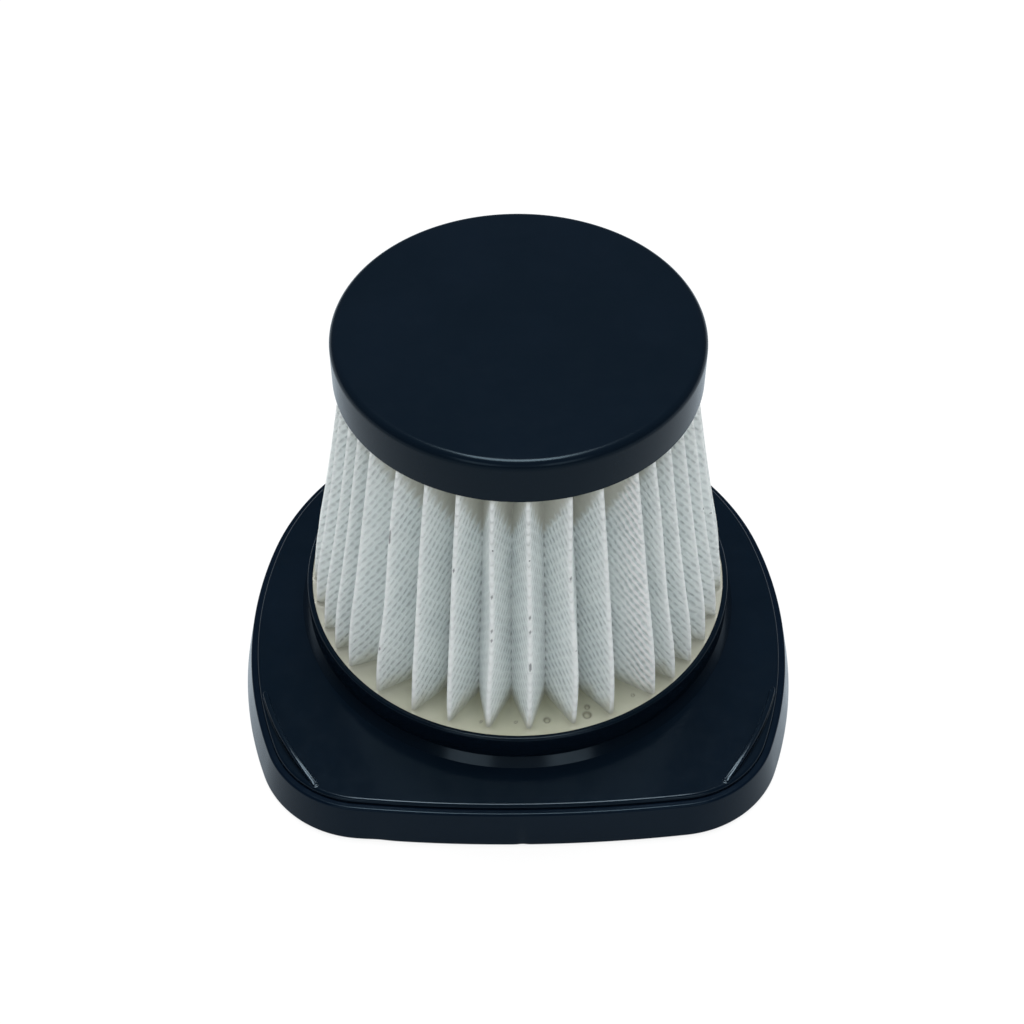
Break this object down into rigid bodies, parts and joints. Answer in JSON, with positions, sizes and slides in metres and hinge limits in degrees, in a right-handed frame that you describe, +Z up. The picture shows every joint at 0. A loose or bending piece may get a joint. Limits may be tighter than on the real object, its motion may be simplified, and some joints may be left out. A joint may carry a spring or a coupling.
{
  "type": "vacuum hepa filter",
  "caption": "Cone-shaped pleated air filter for a vacuum cleaner: white folded media between a black cap and a glossy D-shaped base with a soft flared seal.",
  "frame": {"origin": "on the filter's axis, in the plane of the lower edge of the seal", "axes": "+Z up along the filter's axis from the base to the cap, -Y towards the flatter front of the base"},
  "size_m": [0.1082, 0.1072, 0.0786],
  "materials": {
    "gloss_black": "polished black moulding",
    "seal_black": "satin black elastomer",
    "satin_black": "satin black moulding",
    "white_media": "white point-bonded nonwoven",
    "cream_resin": "cream cast resin, smooth"
  },
  "bodies": {
    "root": {"base_frame": "gloss_black", "rim_seal": "seal_black", "pleated_media": "white_media", "lower_potting": "cream_resin", "upper_potting": "cream_resin", "top_cap": "satin_black"}
  },
  "joints": []
}
